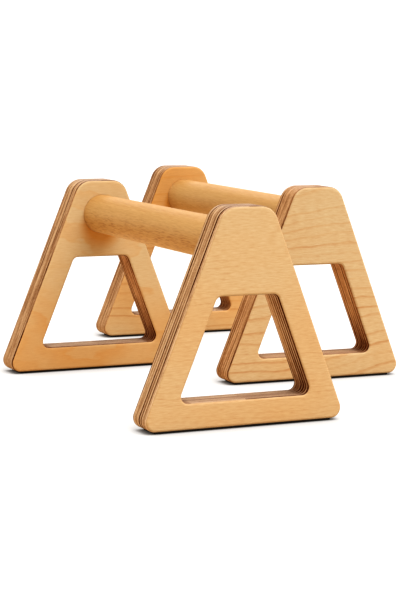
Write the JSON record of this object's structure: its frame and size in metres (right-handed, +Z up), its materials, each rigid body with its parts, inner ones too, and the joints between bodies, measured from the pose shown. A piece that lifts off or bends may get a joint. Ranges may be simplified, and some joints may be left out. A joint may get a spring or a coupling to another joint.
{
  "type": "pair of parallette bars",
  "caption": "Pair of low wooden parallettes: A-shaped plywood end frames with a trapezoid window, a round hardwood grip bar between them, and rubber strips underneath.",
  "frame": {"origin": "on the floor, below the middle of the box round the pair as it stands", "axes": "+Z up, +Y along the left bar from its front end to its rear end, +X from the left parallette to the right one"},
  "size_m": [0.3858, 0.5576, 0.2],
  "materials": {
    "plywood": "clear satin lacquer",
    "bar_wood": "sanded, clear oil",
    "foot_rubber": "matt"
  },
  "bodies": {
    "left_parallette": {"left_front_frame": "plywood", "left_front_foot_strip": "foot_rubber", "left_rear_frame": "plywood", "left_rear_foot_strip": "foot_rubber", "left_grip_bar": "bar_wood"},
    "right_parallette": {"right_front_frame": "plywood", "right_front_foot_strip": "foot_rubber", "right_rear_frame": "plywood", "right_rear_foot_strip": "foot_rubber", "right_grip_bar": "bar_wood"}
  },
  "joints": [
    {"name": "set_out", "type": "slide", "parent": "left_parallette", "child": "right_parallette", "axis": [0.8584, -0.5129, 0], "range_m": [0, 0.3734]}
  ]
}
